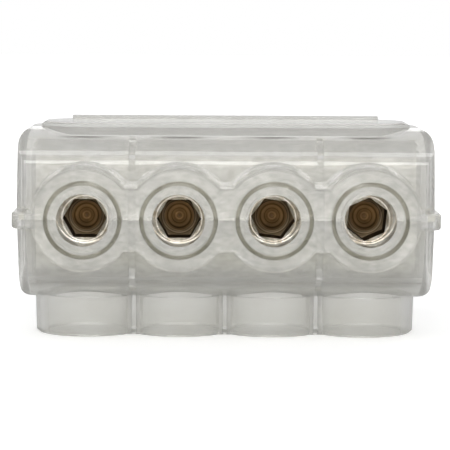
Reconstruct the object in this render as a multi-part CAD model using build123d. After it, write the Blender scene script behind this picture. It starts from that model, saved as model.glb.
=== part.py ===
from build123d import *
import os
from math import atan2, degrees, radians, tan

# A four port insulated multi-tap connector. A clear two-piece housing is closed round a
# plated aluminium bar. Wires enter the bar from below through four tubes, and a hex socket
# set screw in each collar at the front clamps one of them.
# Millimetres. X runs along the ports, -Y is the screw side, +Z is up, and Z = 0 is the
# plane of the tube mouths. A depth is counted back from the collar faces, which lie at
# the front end of the overall depth.

# Ports
port_count = 4
port_pitch = 19.5
end_port_inset = 14.25

# Housing
wall = 1.8
parting_height = 26.2
collar_reach = 9.5
back_overhang = 1.2
roof_rise = 18.0
floor_drop = 18.0
upper_flat = 10.5
lower_flat = 9.8
front_corner_run = 12.0
upper_nose_radius = 5.2
lower_nose_radius = 5.6
upper_end_draft = 1.2
lower_end_draft = 2.3
roof_end_radius = 3.0
floor_end_radius = 2.8
upright_edge_radius = 2.4
upright_edge_line = 0.06
least_radius = 0.4

# Parting joint between the two housing halves
parting_gap = 0.05
flange_above = 1.6
flange_below = 1.8
flange_proud = 0.25
flange_corner = 2.2
flange_edge = 0.35
lip_height = 1.5
lip_clearance = 0.08
lip_front = 16.0
catch_width = 1.3
catch_height = 0.8
catch_proud = 0.5
catch_drop = 4.8
catch_inset = 2.6

# Collar tower
tower_radius = 10.57
tower_web_half = 6.5
tower_draft = 5.0
tower_edge = 0.4
collar_radius = 5.35
collar_wall = 1.75
collar_length = 9.0
groove_width = 0.9
groove_depth = 6.5

# Label pad and its plain raised strip
pad_front = 14.2
pad_back_inset = 5.8
pad_end_inset = 4.2
pad_end_bevel = 0.9
pad_rise = 1.1
pad_corner = 10.0
pad_edge = 0.4
strip_end_inset = 6.2
strip_back_inset = 2.4
strip_width = 2.8
strip_rise = 0.75
strip_end_radius = 0.6

# Ribs between the outer pairs of ports
rib_width = 1.35
rib_proud = 0.6
rib_knee = 2.3
rib_chamfer = 1.6
rib_shoulder_drop = 1.9
lower_rib_end = 13.2
key_depth = 1.0
key_back = 16.5
key_clearance = 0.15

# Wire entry tubes
tube_axis = 26.5
tube_back_inset = 14.5
tube_radius = 11.5
tube_web_half = 7.6
tube_draft = 1.6
tube_bore = 9.4
tube_rim_edge = 0.5
guide_clearance = 0.6

# Connector bar
bar_gap = 0.45
bar_end_gap = 0.5
wire_radius = 7.0

# Set screws
screw_radius = 5.5
screw_length = 9.4
screw_clearance = 0.08
screw_room = 0.35
hex_across_flats = 7.94
hex_depth = 6.8
drill_radius = 3.1
drill_point_radius = 0.4
drill_cone_depth = 1.1
screw_face_chamfer = 0.65
screw_tip_chamfer = 0.3
screw_tip_gap = 0.15
screw_backed_out = (0.3, 0.7, 0.0, 0.1)
hex_turns = (0.0, 0.0, 7.0, 36.5)

# Sizes and places that follow from the sizes above
overall_depth = tube_axis + tube_back_inset
front_y = -overall_depth / 2
port_xs = [(i - (port_count - 1) / 2) * port_pitch for i in range(port_count)]
rib_xs = [(port_xs[0] + port_xs[1]) / 2, (port_xs[-2] + port_xs[-1]) / 2]
row_span = port_xs[-1] - port_xs[0]
body_width = row_span + 2 * end_port_inset
roof_z = parting_height + roof_rise
floor_z = parting_height - floor_drop
body_back = overall_depth - back_overhang
screw_height = parting_height - bar_gap
room_radius = screw_radius + bar_gap + screw_room
groove_inner = collar_radius + collar_wall
groove_outer = groove_inner + groove_width
pad_back = overall_depth - pad_back_inset
pad_length = body_width - 2 * pad_end_inset
bar_inset = wall + bar_gap
end_taper = max(roof_rise * tan(radians(upper_end_draft)), floor_drop * tan(radians(lower_end_draft)))
bar_length = body_width - 2 * (wall + end_taper + bar_end_gap)
bar_end_chamfer = max(floor_end_radius - wall, least_radius)
guide_radius = wire_radius + guide_clearance
reach = 2 * (body_width + overall_depth)
standing = (Align.CENTER, Align.CENTER, Align.MIN)


def at_depth(depth):
    """Y of a point that lies this far behind the collar faces."""
    return front_y + depth


def front_corner(side, level, rise, nose, inset):
    """Two tangent arcs from the flat front round to the roof (side 1) or the floor (side -1).

    The nose arc has the given radius at the front. The crown arc leads from it to the flat
    that lies one rise away from level. The inset moves both inwards by the same distance.
    """
    crown = (front_corner_run**2 + rise**2 - 2 * front_corner_run * nose) / (2 * (rise - nose))
    turn = degrees(atan2(crown - rise, front_corner_run - nose))
    skin = at_depth(collar_reach)
    nose_centre = (skin + nose, level)
    crown_centre = (skin + front_corner_run, level + side * (rise - crown))
    return [
        CenterArc(nose_centre, nose - inset, 180, -side * turn),
        CenterArc(crown_centre, crown - inset, 180 - side * turn, -side * (90 - turn)),
    ]


def section_face(inset):
    """Cross-section of the housing in the YZ plane, drawn inside its outer skin by inset."""
    skin = at_depth(collar_reach)
    front = skin + inset
    back = at_depth(body_back) - inset
    upper = parting_height + upper_flat
    lower = parting_height - lower_flat
    upper_rise = roof_rise - upper_flat
    lower_rise = floor_drop - lower_flat
    roof = roof_z - inset
    floor = floor_z + inset
    upper_back = (at_depth(body_back) - upper_rise, upper)
    lower_back = (at_depth(body_back) - lower_rise, lower)
    edges = [
        Line((front, lower), (front, upper)),
        *front_corner(1, upper, upper_rise, upper_nose_radius, inset),
        Line((skin + front_corner_run, roof), (upper_back[0], roof)),
        CenterArc(upper_back, upper_rise - inset, 0, 90),
        Line((back, upper), (back, lower)),
        CenterArc(lower_back, lower_rise - inset, 270, 90),
        Line((lower_back[0], floor), (skin + front_corner_run, floor)),
        *front_corner(-1, lower, lower_rise, lower_nose_radius, inset),
    ]
    return Plane.YZ * make_face(edges)


def end_outline(inset):
    """Front view outline of the housing, with drafted ends and rounded corners."""
    half = body_width / 2 - inset
    roof_half = half - roof_rise * tan(radians(upper_end_draft))
    floor_half = half - floor_drop * tan(radians(lower_end_draft))
    roof = roof_z - inset
    floor = floor_z + inset
    corners = [
        (-half, parting_height), (-roof_half, roof), (roof_half, roof), (half, parting_height),
        (floor_half, floor), (-floor_half, floor),
    ]
    outline = make_face(Polyline(corners, close=True))
    outline = fillet(outline.vertices().group_by(Axis.Y)[0], max(floor_end_radius - inset, least_radius))
    outline = fillet(outline.vertices().group_by(Axis.Y)[-1], max(roof_end_radius - inset, least_radius))
    return Plane.XZ * outline


def plan_outline(inset):
    """Outline of the housing seen from above, with rounded upright edges.

    It runs a little past the flat front and back, which meet the rounding at a fine line.
    """
    width = body_width - 2 * inset
    depth = body_back - collar_reach - 2 * inset + 2 * upright_edge_line
    radius = max(upright_edge_radius - inset, least_radius)
    middle = at_depth((collar_reach + body_back) / 2)
    return Pos(0, middle, 0) * RectangleRounded(width, depth, radius)


def body_block(inset):
    """The housing's plain body, inset from its outer skin: skin at 0, cavity at the wall."""
    along = extrude(section_face(inset), amount=body_width, both=True)
    across = extrude(end_outline(inset), amount=overall_depth, both=True)
    upright = extrude(plan_outline(inset), amount=2 * roof_z)
    return along & across & upright


def slab(low, high):
    """Box of any width and depth between two heights."""
    return Pos(0, 0, (low + high) / 2) * Box(reach, reach, high - low)


def drafted_row(radius, web_half, edge, length, draft):
    """A round boss for each port, joined by a web, that widen with their draft along +Z.

    The narrow end lies in the plane Z = 0, and its outer edge is broken at 45 degrees.
    """
    rest = length - edge
    wide = radius + rest * tan(radians(draft))
    boss = Cone(radius - edge, radius, edge, align=standing)
    boss += Pos(0, 0, edge) * Cone(radius, wide, rest, align=standing)
    web = extrude(Rectangle(row_span, 2 * (web_half - edge)), amount=edge, taper=-45)
    web += extrude(Pos(0, 0, edge) * Rectangle(row_span, 2 * web_half), amount=rest, taper=-draft)
    return web + [Pos(x, 0, 0) * boss for x in port_xs]


def port_plane(depth, height):
    """Plane that faces along the screws, with its origin at this depth and height."""
    return Plane((0, at_depth(depth), height), x_dir=(1, 0, 0), z_dir=(0, 1, 0))


def collar_tower():
    """The merged bosses that carry the collars, from their faces back into the front wall."""
    length = collar_reach + wall / 2
    row = drafted_row(tower_radius, tower_web_half, tower_edge, length, tower_draft)
    return port_plane(0, parting_height) * row


def collar_cut():
    """Collar bore, the groove round its sleeve, and room for the screw behind it.

    The screw can be backed out into the room, and the narrower collar keeps it captive.
    """
    room_length = collar_reach + 2 * wall - collar_length
    bore = Cylinder(collar_radius, collar_length, align=standing)
    room = Pos(0, 0, collar_length) * Cylinder(room_radius, room_length, align=standing)
    groove = extrude(Circle(groove_outer) - Circle(groove_inner), amount=groove_depth)
    return bore + room + groove


def collar_cuts():
    return Part() + [port_plane(0, parting_height) * Pos(x, 0, 0) * collar_cut() for x in port_xs]


def label_pad():
    """Raised pad on the roof, with upright sides, wide corners, bevelled ends and a broken top edge."""
    foot = roof_z - roof_rise / 4
    top = roof_z + pad_rise
    half = pad_length / 2
    middle = at_depth((pad_front + pad_back) / 2)
    outline = RectangleRounded(pad_length, pad_back - pad_front, pad_corner)
    pad = extrude(Pos(0, middle, foot) * outline, amount=top - foot)
    corners = [
        (-half, foot), (-half, roof_z), (pad_end_bevel - half, top), (half - pad_end_bevel, top),
        (half, roof_z), (half, foot),
    ]
    pad &= extrude(Plane.XZ * make_face(Polyline(corners, close=True)), amount=overall_depth, both=True)
    pad = chamfer(pad.faces().sort_by(Axis.Z)[-1].edges(), pad_edge)
    strip = RectangleRounded(pad_length - 2 * strip_end_inset, strip_width, strip_end_radius)
    return pad + Pos(0, at_depth(pad_back - strip_back_inset), top) * extrude(strip, amount=strip_rise)


def parting_flange():
    """Flange round the parting joint. Its front is flush with the collar tower, as an ear at each end."""
    width = body_width + 2 * flange_proud
    height = flange_above + flange_below
    outline = RectangleRounded(width, overall_depth, flange_corner)
    flange = Pos(0, 0, parting_height - flange_below) * extrude(outline, amount=height)
    rims = flange.faces().sort_by(Axis.Z)
    return chamfer(rims[0].edges() + rims[-1].edges(), flange_edge)


def outer_ribs():
    """Low upright ribs on the skin above and below the collar tower."""
    skin = at_depth(collar_reach)
    crown = skin - rib_proud
    knee = parting_height + upper_flat + rib_knee
    shoulder = roof_z - rib_shoulder_drop
    back = at_depth(pad_front + pad_edge)
    foot = parting_height - lower_rib_end
    with BuildSketch(Plane.YZ) as profile:
        with BuildLine():
            Polyline(
                (crown, foot), (crown, knee), (crown + rib_chamfer, knee + rib_chamfer),
                (back, shoulder), (back, foot), close=True,
            )
        make_face()
    rib = extrude(profile.sketch, amount=rib_width / 2, both=True)
    return Part() + [Pos(x, 0, 0) * rib for x in rib_xs]


def key_band(outside, inside, width, back):
    """Band that follows the front of the housing's section between two insets."""
    band = extrude(section_face(outside) - section_face(inside), amount=width / 2, both=True)
    front = Pos(0, at_depth(back) - reach / 2, 0) * Box(reach, reach, reach)
    return band & front


def key_ribs():
    """Ribs inside the front wall that key into the bar, so it can't slide sideways."""
    rib = key_band(wall / 2, wall + bar_gap + key_depth, rib_width, key_back)
    return Part() + [Pos(x, 0, 0) * rib for x in rib_xs]


def key_slots():
    """Slots in the bar for the key ribs."""
    inside = wall + bar_gap + key_depth + key_clearance
    slot = key_band(wall / 2, inside, rib_width + 2 * key_clearance, key_back + key_clearance)
    return Part() + [Pos(x, 0, 0) * slot for x in rib_xs]


def tube_row():
    """Wire entry tubes, joined by webs and drafted towards their mouths."""
    narrowing = floor_z * tan(radians(tube_draft))
    length = floor_z + floor_end_radius
    row = drafted_row(tube_radius - narrowing, tube_web_half - narrowing, tube_rim_edge, length, tube_draft)
    return Pos(0, at_depth(tube_axis), 0) * row


def tube_cut():
    """Bore of one tube, and the narrower hole through the floor that guides the wire into the bar."""
    bore = Cylinder(tube_bore, floor_z, align=standing)
    guide = Cylinder(guide_radius, parting_height - lower_flat, align=standing)
    return bore + guide


def tube_cuts():
    return Part() + [Pos(x, at_depth(tube_axis), 0) * tube_cut() for x in port_xs]


def catches():
    """Small catches on the lower half's front wall, one beside each upright edge."""
    x = body_width / 2 - catch_inset
    y = at_depth(collar_reach)
    z = parting_height - catch_drop
    catch = Pos(0, y, z) * Box(catch_width, 2 * catch_proud, catch_height)
    return Part() + [Pos(side * x, 0, 0) * catch for side in (-1, 1)]


def closed_housing():
    """Both halves of the housing as one hollow body, before the parting cut."""
    skin = body_block(0) + collar_tower() + label_pad() + parting_flange()
    skin += outer_ribs() + tube_row() + catches()
    hollow = skin - body_block(wall) + key_ribs()
    return hollow - collar_cuts() - tube_cuts()


def joint_band(skin_share, height):
    """Inner part of the wall above the parting plane, along both ends and the back."""
    band = body_block(skin_share) - body_block(wall)
    behind = Pos(0, at_depth(lip_front) + reach / 2, 0) * Box(reach, reach, reach)
    return band & slab(parting_height, parting_height + height) & behind


def upper_shell(housing):
    """Upper half, rebated inside its rim for the lower half's lip."""
    half = housing & slab(parting_height + parting_gap, parting_height + reach)
    return half - joint_band(wall / 2 - lip_clearance, lip_height + lip_clearance)


def lower_shell(housing):
    """Lower half, with a lip that stands up inside the upper half's rim."""
    half = housing & slab(parting_height - reach, parting_height)
    return half + joint_band(wall / 2, lip_height)


def wire_bores(bottom, top):
    """Through bores in the bar, one above each tube."""
    bore = Cylinder(wire_radius, top - bottom, align=standing)
    return Part() + [Pos(x, at_depth(tube_axis), bottom) * bore for x in port_xs]


def screw_holes(front):
    """Threaded holes from the bar's front face into each wire bore."""
    hole = Cylinder(screw_radius + screw_clearance, tube_axis - front, align=standing)
    return Part() + [port_plane(front, screw_height) * Pos(x, 0, 0) * hole for x in port_xs]


def connector_bar():
    """Extruded bar with rounded corners. It has a gap all round, and so sits low, on the floor."""
    bar = extrude(section_face(bar_inset), amount=bar_length / 2, both=True)
    ends = bar.faces().sort_by(Axis.X)
    bar = chamfer(ends[0].edges() + ends[-1].edges(), bar_end_chamfer)
    bar = Pos(0, 0, -bar_gap) * bar
    bottom = floor_z + wall
    top = roof_z - bar_inset - bar_gap
    front = collar_reach + bar_inset
    return bar - wire_bores(bottom, top) - screw_holes(front) - key_slots()


def set_screw(turn):
    """Headless screw along +Z from its socket face, with a drilled hex socket and blunt tip."""
    blank = Cylinder(screw_radius, screw_length, align=standing)
    blank = chamfer(blank.faces().sort_by(Axis.Z)[0].edges(), screw_face_chamfer)
    blank = chamfer(blank.faces().sort_by(Axis.Z)[-1].edges(), screw_tip_chamfer)
    socket = Rot(0, 0, turn) * extrude(RegularPolygon(hex_across_flats / 3**0.5, 6), amount=hex_depth)
    drill = Pos(0, 0, hex_depth) * Cone(drill_radius, drill_point_radius, drill_cone_depth, align=standing)
    return blank - socket - drill


def set_screws():
    """The screws with their tips just clear of the wire bores, each backed out as it stands."""
    tip = tube_axis - wire_radius - screw_tip_gap
    screws = []
    for x, turn, back_out in zip(port_xs, hex_turns, screw_backed_out):
        face = tip - screw_length - back_out
        screws.append(port_plane(face, screw_height) * Pos(x, 0, 0) * set_screw(turn))
    return screws


def main():
    os.makedirs("parts", exist_ok=True)
    housing = closed_housing()
    pieces = {
        "upper_shell": upper_shell(housing),
        "lower_shell": lower_shell(housing),
        "connector_bar": connector_bar(),
    }
    for number, screw in enumerate(set_screws(), start=1):
        pieces[f"set_screw_{number}"] = screw
    for name, piece in pieces.items():
        export_step(piece, f"parts/{name}.step")


main()
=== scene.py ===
from math import cos, radians, sin

import bpy
from mathutils import Matrix, Vector

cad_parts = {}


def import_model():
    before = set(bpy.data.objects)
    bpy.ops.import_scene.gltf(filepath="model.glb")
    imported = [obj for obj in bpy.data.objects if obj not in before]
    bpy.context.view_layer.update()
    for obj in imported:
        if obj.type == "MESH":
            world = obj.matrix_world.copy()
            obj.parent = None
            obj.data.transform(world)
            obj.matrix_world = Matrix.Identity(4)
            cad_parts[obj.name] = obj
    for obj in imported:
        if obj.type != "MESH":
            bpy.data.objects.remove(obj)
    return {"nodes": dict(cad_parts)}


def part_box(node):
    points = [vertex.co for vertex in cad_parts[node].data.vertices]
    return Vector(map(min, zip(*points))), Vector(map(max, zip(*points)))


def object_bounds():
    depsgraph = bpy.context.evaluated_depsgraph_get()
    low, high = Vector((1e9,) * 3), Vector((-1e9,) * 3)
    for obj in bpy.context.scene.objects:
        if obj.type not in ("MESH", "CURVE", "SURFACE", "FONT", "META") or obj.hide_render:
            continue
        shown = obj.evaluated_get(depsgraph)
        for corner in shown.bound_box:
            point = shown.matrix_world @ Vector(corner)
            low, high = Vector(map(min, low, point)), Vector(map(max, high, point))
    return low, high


# A clear insulated terminal block with four hex socket set screws. Metres, in the frame's own axes:
# +X along the row of ports, -Y towards the screws, +Z up.

MM = 0.001
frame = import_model()
cad_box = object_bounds()

# The photograph's camera, fitted to the object's edges: turns in degrees, places from the middle
# of the parting line at the collar faces
PHOTO_PIXELS = 450
SENSOR = 36.0
FOCAL_PIXELS = 2131.8
CAMERA_YAW = 0.65
CAMERA_PITCH = 5.65
CAMERA_ROLL = 0.32
CAMERA_SIDE = -5.2 * MM
CAMERA_BACK = 430 * MM
CAMERA_RISE = 41.7 * MM
PARTING_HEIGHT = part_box("upper_shell")[0].z

# Places that the materials follow. The room lets a mask reach just past the surface it colours
COLLAR_FACE = cad_box[0].y
MASK_ROOM = 0.1 * MM
PORT_PITCH = 19.5 * MM
WIRE_AXIS = 6 * MM
WIRE_RADIUS = 7 * MM
GROOVE_INNER = 7.1 * MM
GROOVE_OUTER = 8.0 * MM
GROOVE_START = 0.3 * MM
GROOVE_END = 9 * MM
PAD_FOOT = COLLAR_FACE + 14.2 * MM
PAD_FOOT_HEIGHT = PARTING_HEIGHT + 14.9 * MM
PAD_FOOT_ROOM = 0.03 * MM
FOOT_SHADE_HALF = 6.8 * MM
FOOT_SHADE_DEPTH = 1.0 * MM
HEX_CORNER = 4.6 * MM
SOCKET_DEPTH = 6.8 * MM
BEVEL_RISE = 2.6 * MM

# The floor's half side, and how far its glow to the camera is held back to keep the shadow
FLOOR_HALF = 3.0
SHADOW_REACH = (0.08, 0.35)


def node(tree, kind, **values):
    """A new shader node. Its inputs are named with words joined by underscores."""
    made = tree.nodes.new("ShaderNode" + kind)
    for name, value in values.items():
        if hasattr(made, name):
            setattr(made, name, value)
        else:
            made.inputs[name.replace("_", " ")].default_value = value
    return made


def link(tree, source, output, target, socket):
    """Wire an output to an input, each by name or number."""
    tree.links.new(source.outputs[output], target.inputs[socket])


def new_material(name):
    """A material with an empty tree that ends in its output node."""
    material = bpy.data.materials.new(name)
    material.use_nodes = True
    tree = material.node_tree
    tree.nodes.clear()
    return material, tree, node(tree, "OutputMaterial")


def noise(tree, scale, detail=3.0, stretch=(1, 1, 1), roughness=0.5):
    """Noise in the row frame, with its scale in cycles a metre."""
    place = node(tree, "TexCoord")
    mapping = node(tree, "Mapping")
    mapping.inputs["Scale"].default_value = stretch
    texture = node(tree, "TexNoise", Scale=scale, Detail=detail, Roughness=roughness)
    link(tree, place, "Object", mapping, "Vector")
    link(tree, mapping, "Vector", texture, "Vector")
    return texture


def ramp(tree, source, output, stops):
    """Colour ramp from (place, colour) stops, driven by an output."""
    made = node(tree, "ValToRGB")
    elements = made.color_ramp.elements
    while len(elements) < len(stops):
        elements.new(0.5)
    for element, (place, colour) in zip(elements, stops):
        element.position = place
        element.color = (*colour, 1)
    link(tree, source, output, made, "Fac")
    return made


def remap(tree, source, output, from_range, to_range):
    """Map one range of a value to another, clamped."""
    made = node(tree, "MapRange")
    made.inputs["From Min"].default_value, made.inputs["From Max"].default_value = from_range
    made.inputs["To Min"].default_value, made.inputs["To Max"].default_value = to_range
    link(tree, source, output, made, "Value")
    return made


def spread(tree, source, output, low, high):
    """Map a value from 0..1 to low..high."""
    return remap(tree, source, output, (0, 1), (low, high))


def maths(tree, operation, source, output, value=0.0):
    """One Math node on an output and a number."""
    made = node(tree, "Math", operation=operation)
    link(tree, source, output, made, 0)
    made.inputs[1].default_value = value
    return made


def tinted(tree, share, output, first, second):
    """Mix two colour outputs by a share from 0 to 1."""
    made = node(tree, "MixRGB")
    link(tree, share, output, made, 0)
    link(tree, first, "Color", made, 1)
    link(tree, second, "Color", made, 2)
    return made


def port_place(tree):
    """Place in the row frame: the three axes, and X from the nearest port's own axis."""
    place = node(tree, "TexCoord")
    axes = node(tree, "SeparateXYZ")
    link(tree, place, "Object", axes, 0)
    across = maths(tree, "FLOORED_MODULO", axes, "X", PORT_PITCH)
    across = maths(tree, "SUBTRACT", across, "Value", PORT_PITCH / 2)
    return axes, across


def reach(tree, first, second):
    """Length of the plane vector of two values."""
    spot = node(tree, "CombineXYZ")
    link(tree, first, "Value", spot, "X")
    link(tree, second, "Value", spot, "Y")
    length = node(tree, "VectorMath", operation="LENGTH")
    link(tree, spot, "Vector", length, 0)
    return length


def product(tree, first, *others):
    """Product of the first outputs of several nodes."""
    for other in others:
        made = node(tree, "Math", operation="MULTIPLY")
        link(tree, first, 0, made, 0)
        link(tree, other, 0, made, 1)
        first = made
    return first


def bump(tree, source, output, strength, distance, before=None):
    """Bump from a height, on top of an earlier bump if there is one."""
    made = node(tree, "Bump", Strength=strength, Distance=distance)
    link(tree, source, output, made, "Height")
    if before is not None:
        link(tree, before, "Normal", made, "Normal")
    return made


def groove_shade_mask(tree):
    """One in the grooves around the collars, where the plastic's colour is darkened as painted shade,
    and zero elsewhere.
    """
    axes, across = port_place(tree)
    rise = maths(tree, "SUBTRACT", axes, "Z", PARTING_HEIGHT)
    radius = reach(tree, across, rise)
    outside = maths(tree, "GREATER_THAN", radius, "Value", GROOVE_INNER - MASK_ROOM / 2)
    inside = maths(tree, "LESS_THAN", radius, "Value", GROOVE_OUTER + MASK_ROOM / 2)
    behind = maths(tree, "GREATER_THAN", axes, "Y", COLLAR_FACE + GROOVE_START)
    front = maths(tree, "LESS_THAN", axes, "Y", COLLAR_FACE + GROOVE_END)
    return product(tree, outside, inside, behind, front)


def foot_shade_mask(tree):
    """Painted shade: the dim crescent in front of each port at the label pad's foot, where the roof
    gathers shade.
    """
    axes, across = port_place(tree)
    near = maths(tree, "DIVIDE", across, "Value", FOOT_SHADE_HALF)
    ahead = maths(tree, "SUBTRACT", axes, "Y", PAD_FOOT)
    ahead = maths(tree, "DIVIDE", ahead, "Value", FOOT_SHADE_DEPTH)
    away = reach(tree, near, ahead)
    soft = remap(tree, away, "Value", (0.35, 1.0), (1, 0))
    front = maths(tree, "LESS_THAN", axes, "Y", PAD_FOOT - PAD_FOOT_ROOM)
    above = maths(tree, "GREATER_THAN", axes, "Z", PAD_FOOT_HEIGHT)
    return product(tree, soft, front, above)


def clear_plastic():
    """Moulded clear plastic, slightly milky. Lamps shine through it, so that what it holds is lit."""
    material, tree, output = new_material("clear_plastic")
    plastic = node(tree, "BsdfPrincipled", IOR=1.5, Transmission_Weight=0.75)
    cloud = noise(tree, 160, 2.0)
    tint = ramp(tree, cloud, "Fac", [(0.35, (0.90, 0.893, 0.865)), (0.7, (0.95, 0.947, 0.93))])
    # Painted shade: the plastic's colour darkened in the grooves around the collars.
    groove_shade = ramp(tree, cloud, "Fac", [(0.35, (0.40, 0.385, 0.32)), (0.7, (0.52, 0.505, 0.44))])
    # Painted shade: the plastic's colour darkened in a crescent at the label pad's foot.
    shade = ramp(tree, cloud, "Fac", [(0.35, (0.12, 0.115, 0.10)), (0.7, (0.2, 0.195, 0.18))])
    tint = tinted(tree, groove_shade_mask(tree), 0, tint, groove_shade)
    tint = tinted(tree, foot_shade_mask(tree), 0, tint, shade)
    link(tree, tint, "Color", plastic, "Base Color")
    grain = noise(tree, 2400, 3.0)
    gloss = spread(tree, grain, "Fac", 0.03, 0.10)
    link(tree, gloss, "Result", plastic, "Roughness")
    flow = noise(tree, 420, 2.0, (0.35, 1, 1))
    skin = bump(tree, flow, "Fac", 0.10, 0.15 * MM)
    skin = bump(tree, grain, "Fac", 0.10, 0.02 * MM, skin)
    link(tree, skin, "Normal", plastic, "Normal")
    path = node(tree, "LightPath")
    through = node(tree, "BsdfTransparent", Color=(0.80, 0.80, 0.77, 1))
    mix = node(tree, "MixShader")
    link(tree, path, "Is Shadow Ray", mix, 0)
    link(tree, plastic, "BSDF", mix, 1)
    link(tree, through, "BSDF", mix, 2)
    link(tree, mix, "Shader", output, "Surface")
    return material


def plated_bar():
    """Satin plated aluminium with fine extrusion lines, a mottled skin, and painted shade darkening
    its wire bores.
    """
    material, tree, output = new_material("plated_bar")
    metal = node(tree, "BsdfPrincipled", Metallic=1.0)
    mottle = noise(tree, 900, 4.0, (0.5, 1, 1), 0.65)
    skin = ramp(tree, mottle, "Fac", [(0.38, (0.24, 0.23, 0.20)), (0.62, (0.46, 0.45, 0.41))])
    # Painted shade: the colour inside the wire bores is darkened to near black.
    bore_painted_shade = ramp(tree, mottle, "Fac", [(0.3, (0.05, 0.045, 0.035)), (0.7, (0.13, 0.12, 0.10))])
    axes, across = port_place(tree)
    along = maths(tree, "SUBTRACT", axes, "Y", WIRE_AXIS)
    bore_shade_mask = maths(tree, "LESS_THAN", reach(tree, across, along), "Value", WIRE_RADIUS + MASK_ROOM)
    tint = tinted(tree, bore_shade_mask, "Value", skin, bore_painted_shade)
    gloss = spread(tree, mottle, "Fac", 0.28, 0.5)
    lines = noise(tree, 2600, 2.0, (0.03, 1, 1))
    height = bump(tree, lines, "Fac", 0.25, 0.05 * MM)
    height = bump(tree, mottle, "Fac", 0.5, 0.1 * MM, height)
    link(tree, tint, "Color", metal, "Base Color")
    link(tree, gloss, "Result", metal, "Roughness")
    link(tree, height, "Normal", metal, "Normal")
    link(tree, metal, "BSDF", output, "Surface")
    return material


def screw_metal(name, axis, face):
    """Pale gold plated screw, turned about its axis, with a hex socket behind its face whose walls and
    bottom are darkened with painted shade.

    The axis is given as (X, Z), and the face is the Y of the screw's end at rest.
    """
    material, tree, output = new_material(name)
    metal = node(tree, "BsdfPrincipled", Metallic=1.0)
    place = node(tree, "TexCoord")
    about = node(tree, "Mapping")
    about.inputs["Location"].default_value = (-axis[0], 0, -axis[1])
    about.inputs["Scale"].default_value = (1, 0, 1)
    radius = node(tree, "VectorMath", operation="LENGTH")
    link(tree, place, "Object", about, "Vector")
    link(tree, about, "Vector", radius, 0)
    rings = node(tree, "TexNoise", noise_dimensions="1D", Scale=2200.0, Detail=2.0)
    link(tree, radius, "Value", rings, "W")
    bevel = remap(tree, radius, "Value", (0, HEX_CORNER), (0, 1))
    height = bump(tree, bevel, "Result", 1.0, BEVEL_RISE)
    height = bump(tree, rings, "Fac", 0.5, 0.06 * MM, height)
    patches = noise(tree, 700, 3.0)
    plating = ramp(tree, patches, "Fac", [(0.35, (0.55, 0.48, 0.38)), (0.65, (0.84, 0.80, 0.73))])
    # Painted shade: the socket's walls near black and its bottom darker than the plating; the turning
    # rings and the gold burr flecks are real.
    socket_wall_shade = ramp(tree, patches, "Fac", [(0.4, (0.02, 0.010, 0.002)), (0.7, (0.09, 0.050, 0.018))])
    turned = ramp(tree, rings, "Fac", [(0.35, (0.13, 0.090, 0.045)), (0.65, (0.55, 0.42, 0.27))])
    burr = noise(tree, 2600, 2.0)
    fleck = remap(tree, burr, "Fac", (0.60, 0.66), (0, 1))
    rim = remap(tree, radius, "Value", (3.2 * MM, 4.0 * MM), (0, 1))
    axes = node(tree, "SeparateXYZ")
    link(tree, place, "Object", axes, 0)
    behind = remap(tree, axes, "Y", (face + 0.15 * MM, face + 0.5 * MM), (0, 1))
    within = maths(tree, "LESS_THAN", radius, "Value", HEX_CORNER + MASK_ROOM)
    deep = maths(tree, "GREATER_THAN", axes, "Y", face + SOCKET_DEPTH - MASK_ROOM)
    shallow = remap(tree, axes, "Y", (face + 0.3 * MM, face + 1.6 * MM), (1, 0))
    gold = node(tree, "RGB")
    gold.outputs[0].default_value = (0.75, 0.60, 0.38, 1)
    socket_wall_shade = tinted(tree, product(tree, fleck, rim, shallow), 0, socket_wall_shade, gold)
    socket_wall_shade = tinted(tree, deep, "Value", socket_wall_shade, turned)
    socket = product(tree, behind, within)
    tint = tinted(tree, socket, 0, plating, socket_wall_shade)
    gloss = spread(tree, socket, 0, 0.26, 0.36)
    link(tree, gloss, "Result", metal, "Roughness")
    link(tree, tint, "Color", metal, "Base Color")
    link(tree, height, "Normal", metal, "Normal")
    link(tree, metal, "BSDF", output, "Surface")
    return material


def dress(name, material):
    """Give a CAD node one material."""
    piece = frame["nodes"][name]
    piece.data.materials.clear()
    piece.data.materials.append(material)
    return piece


def dress_nodes():
    """Materials on the seven CAD nodes, with their slots."""
    plastic = clear_plastic()
    for name in ("upper_shell", "lower_shell"):
        dress(name, plastic)
    dress("connector_bar", plated_bar())
    for number in range(1, 5):
        name = f"set_screw_{number}"
        low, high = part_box(name)
        centre = (low + high) / 2
        metal = screw_metal(f"screw_metal_{number}", (centre.x, centre.z), low.y)
        dress(name, metal)


def photo_camera():
    """Camera at the photograph's place and turn."""
    yaw, pitch, roll = radians(CAMERA_YAW), radians(CAMERA_PITCH), radians(CAMERA_ROLL)
    forward = Vector((sin(yaw) * cos(pitch), cos(yaw) * cos(pitch), -sin(pitch)))
    level = Vector((cos(yaw), -sin(yaw), 0))
    right = cos(roll) * level + sin(roll) * level.cross(forward)
    up = right.cross(forward)
    data = bpy.data.cameras.new("photo_camera")
    data.sensor_width = SENSOR
    data.lens = FOCAL_PIXELS * SENSOR / PHOTO_PIXELS
    data.clip_start = 0.01
    data.clip_end = 20
    camera = bpy.data.objects.new("photo_camera", data)
    bpy.context.scene.collection.objects.link(camera)
    turn = Matrix((right, up, -forward)).transposed().to_4x4()
    place = Vector((CAMERA_SIDE, COLLAR_FACE - CAMERA_BACK, PARTING_HEIGHT + CAMERA_RISE))
    camera.matrix_world = Matrix.Translation(place) @ turn
    bpy.context.scene.camera = camera


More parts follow.
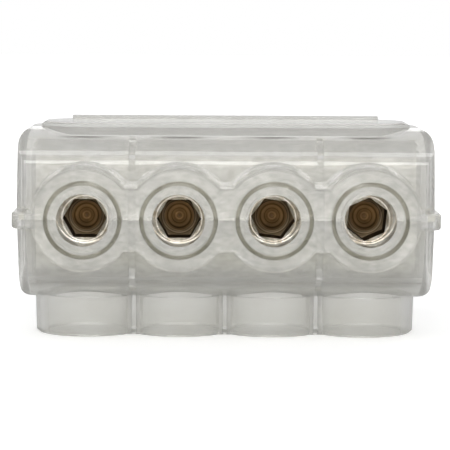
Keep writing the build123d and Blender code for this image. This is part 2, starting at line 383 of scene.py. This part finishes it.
def softbox(name, place, target, size, power):
    """Rectangular area lamp aimed at a point."""
    data = bpy.data.lights.new(name, "AREA")
    data.shape = "RECTANGLE"
    data.size, data.size_y = size
    data.energy = power
    lamp = bpy.data.objects.new(name, data)
    bpy.context.scene.collection.objects.link(lamp)
    lamp.location = place
    lamp.rotation_euler = (Vector(target) - Vector(place)).to_track_quat("-Z", "Y").to_euler()
    return lamp


def lights():
    """A wide soft lamp in front, a higher one for the upward faces, and a weak one behind."""
    middle = (0, 0, 25 * MM)
    softbox("front_softbox", (0, -0.75, 0.20), middle, (0.9, 0.20), 2.8)
    softbox("key_softbox", (-0.05, -0.35, 0.55), middle, (0.5, 0.2), 1.3)
    behind = softbox("back_softbox", (0.15, 0.70, 0.35), middle, (0.6, 0.3), 0.9)
    behind.visible_transmission = False


def world():
    """White to the camera. What it lights sees a soft room, bright at the back and dim in front."""
    made = bpy.data.worlds.new("studio")
    bpy.context.scene.world = made
    made.use_nodes = True
    tree = made.node_tree
    tree.nodes.clear()
    output = node(tree, "OutputWorld")
    place = node(tree, "TexCoord")
    axes = node(tree, "SeparateXYZ")
    link(tree, place, "Generated", axes, 0)
    depth = remap(tree, axes, "Y", (-0.9, 0.7), (0.5, 0.95))
    rise = remap(tree, axes, "Z", (0.2, 1.0), (1.0, 0.7))
    aside = maths(tree, "ABSOLUTE", axes, "X")
    aside = remap(tree, aside, "Value", (0.4, 1.0), (1.0, 0.5))
    level = product(tree, depth, rise, aside)
    room = node(tree, "Background")
    link(tree, level, "Value", room, "Strength")
    white = node(tree, "Background", Strength=1.0)
    white.inputs["Color"].default_value = (1, 1, 1, 1)
    path = node(tree, "LightPath")
    mix = node(tree, "MixShader")
    link(tree, path, "Is Camera Ray", mix, 0)
    link(tree, room, "Background", mix, 1)
    link(tree, white, "Background", mix, 2)
    link(tree, mix, "Shader", output, "Surface")


def floor():
    """Plain white floor that keeps the object's faint shadow and glows to white away from it."""
    material, tree, output = new_material("studio_floor")
    paint = node(tree, "BsdfDiffuse")
    paint.inputs["Color"].default_value = (0.8, 0.8, 0.8, 1)
    place = node(tree, "TexCoord")
    away = node(tree, "VectorMath", operation="LENGTH")
    link(tree, place, "Object", away, 0)
    level = remap(tree, away, "Value", SHADOW_REACH, (0.45, 1.0))
    glow = node(tree, "Emission")
    link(tree, level, "Result", glow, "Strength")
    path = node(tree, "LightPath")
    seen = node(tree, "MixShader")
    dark = node(tree, "Emission", Strength=0.0)
    both = node(tree, "AddShader")
    link(tree, path, "Is Camera Ray", seen, 0)
    link(tree, dark, "Emission", seen, 1)
    link(tree, glow, "Emission", seen, 2)
    link(tree, paint, "BSDF", both, 0)
    link(tree, seen, "Shader", both, 1)
    link(tree, both, "Shader", output, "Surface")
    half = FLOOR_HALF
    mesh = bpy.data.meshes.new("studio_floor")
    corners = [(-half, -half, 0), (half, -half, 0), (half, half, 0), (-half, half, 0)]
    mesh.from_pydata(corners, [], [(0, 1, 2, 3)])
    mesh.materials.append(material)
    ground = bpy.data.objects.new("studio_floor", mesh)
    bpy.context.scene.collection.objects.link(ground)


def look():
    """Colours as they are written, and enough bounces for light to cross the clear walls."""
    scene = bpy.context.scene
    scene.view_settings.view_transform = "Standard"
    scene.cycles.max_bounces = 24
    scene.cycles.transmission_bounces = 20
    scene.cycles.transparent_max_bounces = 32
    scene.cycles.glossy_bounces = 8
    scene.cycles.diffuse_bounces = 4


dress_nodes()
photo_camera()
world()
lights()
floor()
look()
